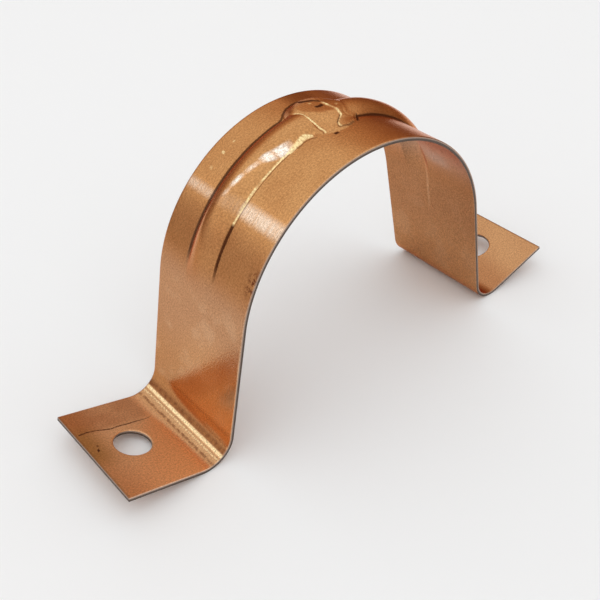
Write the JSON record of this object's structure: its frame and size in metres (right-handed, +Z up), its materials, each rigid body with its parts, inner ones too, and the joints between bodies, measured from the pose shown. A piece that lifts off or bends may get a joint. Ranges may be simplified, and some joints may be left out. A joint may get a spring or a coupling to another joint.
{
  "type": "pipe strap",
  "caption": "Copper-plated sheet-steel strap: a ribbed arch with a round boss at its crown, splayed legs, and feet with screw holes, for holding a tube to a wall or joist.",
  "frame": {"origin": "middle of the strap, on the surface that the bends above its feet rest on", "axes": "+X along the strap from foot to foot, +Y along the tube towards the edge that the rib is nearer to, +Z up through the crown of the arch"},
  "size_m": [0.1026, 0.0232, 0.0495],
  "materials": {
    "strap": "bright copper plating over pressed sheet steel"
  },
  "bodies": {
    "root": {"strap": "strap"}
  },
  "joints": []
}
